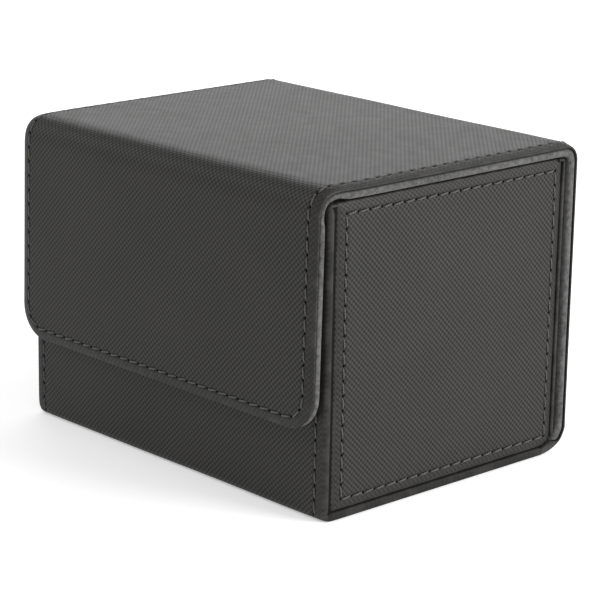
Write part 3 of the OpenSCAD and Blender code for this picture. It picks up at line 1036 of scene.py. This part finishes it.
BAND_GAP = 0.12  # between the leather and the microfibre under it
BAND_ROUND = 0.8  # how far the turned microfibre bulges at the edge
BAND_INNER = 0.05 + BAND_ROUND  # inset where that bulge starts
BAND_SHADE = 0.8  # painted shade on the turned microfibre beside the leather
END_SHADE = 0.5  # painted shade at its lower edge, in the base bend
END_FADE = 4.5
HEM_LEAST_T = 0.08  # of the microfibre in the hem
HEM_W = 3.4
BEND_HEM_T = 2.9  # thickness of leather and turned microfibre at the edges of the rear bends
FRONT_HEM_T = 2.25  # the same at the front bend


def hem_thickness(s):
    return BEND_HEM_T + (FRONT_HEM_T - BEND_HEM_T) * smooth(s, LID_S, FRONT_BEND_S)


def lining_top(inset, x, s):
    """The microfibre's hidden face: under the leather in the hem, and under the board inside it."""
    hem = cover_bare(inset, x, s) - LEATHER_T - BAND_GAP - turned_under(0, s)
    hem = np.maximum(hem, HEM_LEAST_T - hem_thickness(s) + cover_bare(inset, x, s))
    under_board = -(LAMINATE_T - LINING_T)
    return hem + (under_board - hem) * cover_boarded(s) * smooth(inset, HEM_W - 0.1, HEM_W + 0.3)


def lining_bottom(inset, x, s):
    """The microfibre's open face."""
    boarded = cover_boarded(s)
    hem = 1 - smooth(inset, HEM_W - 0.6, HEM_W + 0.6)
    bend = cover_bare(inset, x, s) - BEND_T - (hem_thickness(s) - BEND_T) * hem
    soft = -0.6 * seam_dip(inset, COVER_SEAM) * stitched_share(s)
    rounded = 0.35 * np.clip(1 - inset / 1.6, 0, 1) ** 2
    return bend * (1 - boarded) + (rounded - LAMINATE_T) * boarded + soft


def band_edge(key):
    """Inset of the turned edge of the microfibre: bulging half way between its faces."""
    turn = -math.pi / 2 * np.clip(key, -1, 0)
    return np.where(key < 0, BAND_INNER - BAND_ROUND * np.sin(turn), np.maximum(key, BAND_INNER))


def band_height(face):
    """Height of one face of the microfibre, which meets the other face half way at the edge."""

    def height(key, x, s):
        edge = np.full(key.shape, BAND_INNER)
        top, bottom = lining_top(edge, x, s), lining_bottom(edge, x, s)
        turn = -math.pi / 2 * np.clip(key, -1, 0)
        here = top if face is lining_top else bottom
        middle = (top + bottom) / 2
        rounded = middle + (here - middle) * np.cos(turn)
        return np.where(key < BAND_INNER, rounded, face(key, x, s))

    return height


def cover_seam(sheet):
    """Stitches counted along the cover's seam from the middle of the flap's lower edge."""
    x, s = sheet.flat()
    over, under = np.abs(x) - CORNER_X, s - CORNER_S
    angle = np.arctan2(np.clip(over, 0, None), np.clip(under, 1e-9, None))
    in_corner = (over > 0) & (under > 0)
    beside_foot = (over <= 0) & (FOOT_S - s < cover_half(s) - np.abs(x))
    along = CORNER_X + SEAM_ARC + CORNER_S - s
    along = np.where(in_corner, CORNER_X + SEAM_CORNER_R * angle, along)
    along = np.where(beside_foot, np.abs(x), along)
    inset = np.where(s < BACK_S - 0.5, FAR, np.clip(sheet.key, 0, FAR))
    return [(along / COVER_PITCH, inset)]


seam_half_length = CORNER_X + SEAM_ARC + CORNER_S - BACK_S
COVER_STITCHES = round(seam_half_length / STITCH_PITCH)
COVER_PITCH = seam_half_length / COVER_STITCHES


def cover_stitch_places():
    """(x, s, dx, ds) of one side's stitches, from the middle of the flap's lower edge to the base bend."""
    for i in range(COVER_STITCHES):
        along = (i + 0.5) * COVER_PITCH
        if along < CORNER_X:
            yield along, FOOT_S - COVER_SEAM, 1, 0
        elif along < CORNER_X + SEAM_ARC:
            angle = (along - CORNER_X) / SEAM_CORNER_R
            x = CORNER_X + SEAM_CORNER_R * math.sin(angle)
            s = CORNER_S + SEAM_CORNER_R * math.cos(angle)
            yield x, s, math.cos(angle), -math.sin(angle)
        else:
            s = CORNER_S - (along - CORNER_X - SEAM_ARC)
            yield cover_half(s) - COVER_SEAM, s, 0, -1


def metres(y, z):
    """A point of the plane x = 0, in metres."""
    return 0, y * MM, z * MM


BENDS = {
    "rear": ("tray", "lid", metres(cover_high[1], TOP_Z - REAR_BEND_R), metres(lid_high[1], TOP_Z)),
    "front": (
        "lid",
        "flap",
        metres(lid_low[1], TOP_Z),
        metres(lid_low[1] - FRONT_BEND_R, TOP_Z - FRONT_BEND_R),
    ),
}
REPLACED = {"rear": ["cover_back", "rear_bend", "lid"], "front": ["lid", "front_bend", "flap"]}
SEWN = ("cover_back", "lid", "flap")


def cover_sheet(part, start=0.0):
    """The cover from start to the middle of the lid, or from there to the flap's lower edge."""
    foot = part == "front"
    start, until = (LID_MIDDLE_S, None) if foot else (start, LID_MIDDLE_S)
    rows = cover_path.rows(ROW_STEP, COVER_TURN_STEP, until)
    rows = np.concatenate([[start], rows[rows > start + COVER_TURN_STEP]])
    keys = edge_keys(EDGE_R, COVER_SEAM)
    return Sheet(cover_path, cover_half, keys, rows, along_x, foot=foot, corner_r=FLAP_CORNER_R)


def cover_leather(part):
    sheet = cover_sheet(part)
    outer = sheet.points(round_edge, cover_leather_outer)
    surfaces = outer, sheet.points(under_round_edge, cover_leather_inner)
    # painted shade on the leather turned round the cover's edges
    painted_shade = FOLD_SHADE * edge_shade_ramp(sheet, 0.6)
    # a wider band of edge wear and painted highlight on the cover
    shades = leather_shades(sheet.key, COVER_SEAM, 0.5, painted_shade, wear_and_highlight_w=1.8)
    seam = cover_seam(sheet)
    return shell(f"cover_{part}_leather", sheet, surfaces, seam, COVER_SEAM, shades, LEATHER)


def cover_lining(part):
    sheet = cover_sheet(part, LINING_START * BACK_S)
    surfaces = [sheet.points(band_edge, band_height(face)) for face in (lining_top, lining_bottom)]
    _, s = sheet.flat()
    # painted shade at the microfibre's lower end on both faces, and beside the leather on its top face
    lower_end_shade = END_SHADE * (1 - smooth(s, LINING_START * BACK_S, LINING_START * BACK_S + END_FADE))
    top_face_shade = np.maximum(BAND_SHADE * (1 - smooth(-sheet.key, 0.35, 0.7)), lower_end_shade)
    shades = {"painted_shade": (top_face_shade, lower_end_shade)}
    return shell(f"cover_{part}_lining", sheet, surfaces, cover_seam(sheet), COVER_SEAM, shades, SUEDE)


def cover_part(part):
    """The rear or front part of the cover: its leather, its lining and the stitches on both."""
    leather, lining = cover_leather(part), cover_lining(part)
    hand_over(leather, BENDS[part], [f"{node}_leather" for node in REPLACED[part]])
    hand_over(lining, BENDS[part], [f"{node}_lining" for node in REPLACED[part]])

    places = [
        (side * x, s, side * dx, ds)
        for side in (-1, 1)
        for x, s, dx, ds in cover_stitch_places()
        if (s < LID_MIDDLE_S) == (part == "rear")
    ]
    nodes = [f"{node}_stitching" for node in REPLACED[part] if node in SEWN]
    stitches(f"cover_{part}_stitching", cover_path, along_x, places, BENDS[part], nodes)

    def under(x, s):
        return lining_bottom(COVER_SEAM, x, s) - THREAD_SHOWS

    inside = [place for place in places if place[1] > REAR_BEND_S - 1]
    stitches(f"cover_{part}_inner_stitching", cover_path, along_x, inside, BENDS[part], nodes, under)


tray_front()
tray_side(1, "right")
tray_side(-1, "left")
tray_rear()
cover_part("rear")
cover_part("front")


# ---------- CAD nodes that show as they are ----------


WALLS = ("front", "rear", "left", "right", "bottom")
BOARD_BEVEL = 0.6
LINING_BEVEL = 0.12


def finish_nodes(names, material, bevel=0.0):
    """Gives CAD nodes a material, and softly rounded edges where a bevel is given."""
    for name in names:
        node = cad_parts[name]
        node.data.materials.clear()
        node.data.materials.append(material)
        if bevel:
            modifier = node.modifiers.new("soft_edges", "BEVEL")
            modifier.width = bevel * MM
            modifier.segments = 3
            modifier.limit_method = "ANGLE"


BOARD = shaded_board_material()
finish_nodes([f"{wall}_board" for wall in WALLS], BOARD, BOARD_BEVEL)
finish_nodes(["cover_back_board", "lid_board", "flap_board"], BOARD)
finish_nodes([f"{wall}_lining" for wall in WALLS], SUEDE, LINING_BEVEL)
finish_nodes(["front_magnets", "flap_magnets"], magnet_material())
finish_nodes(["cover_bond"], adhesive_material())


# ---------- surroundings ----------


def floor():
    """A plain pale floor."""
    size = 3.0
    mesh = bpy.data.meshes.new("floor")
    corners = [(-size, -size, 0), (size, -size, 0), (size, size, 0), (-size, size, 0)]
    mesh.from_pydata(corners, [], [(0, 1, 2, 3)])
    n = Nodes("pale_floor")
    colour = n.ramp(n.noise(3, 2, 0.5), (0.3, (0.93, 0.93, 0.93)), (0.7, (0.95, 0.95, 0.95)))
    others = {"Specular IOR Level": 0.0, "Emission Color": (1, 1, 1, 1), "Emission Strength": 0.35}
    mesh.materials.append(n.finish(colour, 0.9, others))
    add_object("floor", mesh)


LIGHT_TARGET = Vector((0, 0, 0.04))


def softbox(name, place, width, height, watts):
    """An area light that faces the box. Its place and size are in metres."""
    light = bpy.data.lights.new(name, "AREA")
    light.shape = "RECTANGLE"
    light.size, light.size_y, light.energy = width, height, watts
    obj = add_object(name, light)
    obj.location = place
    obj.rotation_mode = "QUATERNION"
    obj.rotation_quaternion = (LIGHT_TARGET - Vector(place)).to_track_quat("-Z", "Y")


def studio():
    """An even white surround and three softboxes."""
    world = bpy.data.worlds.new("studio")
    world.use_nodes = True
    background = world.node_tree.nodes["Background"]
    background.inputs["Color"].default_value = (1, 1, 1, 1)
    background.inputs["Strength"].default_value = 0.63
    bpy.context.scene.world = world
    softbox("right_softbox", (1.0, 0.5, 0.5), width=0.7, height=0.7, watts=12.7)
    softbox("back_softbox", (-0.95, 0.9, 0.42), width=1.0, height=0.4, watts=4.8)
    softbox("left_softbox", (-0.85, -0.5, 0.65), width=0.45, height=0.45, watts=2.5)


VIEW_AZIMUTH = 46.77
VIEW_ELEVATION = 15.59
VIEW_ROLL = 1.02
VIEW_DISTANCE = 586.0
VIEW_TARGET = Vector((8.19, -4.75, 36.09))
LENS = 148.2
SENSOR = 36.0


def camera():
    """A long lens, a little above the box and to its right."""
    a, e = math.radians(VIEW_AZIMUTH), math.radians(VIEW_ELEVATION)
    back = Vector((math.sin(a) * math.cos(e), -math.cos(a) * math.cos(e), math.sin(e)))
    data = bpy.data.cameras.new("camera")
    data.lens, data.sensor_width = LENS, SENSOR
    obj = add_object("camera", data)
    obj.rotation_mode = "QUATERNION"
    turn = (-back).to_track_quat("-Z", "Y")
    roll = Matrix.Rotation(math.radians(VIEW_ROLL), 3, "Z").to_quaternion()
    obj.rotation_quaternion = turn @ roll
    obj.location = (VIEW_TARGET + back * VIEW_DISTANCE) * MM
    bpy.context.scene.camera = obj


floor()
studio()
camera()
bpy.context.scene.view_settings.view_transform = "Standard"
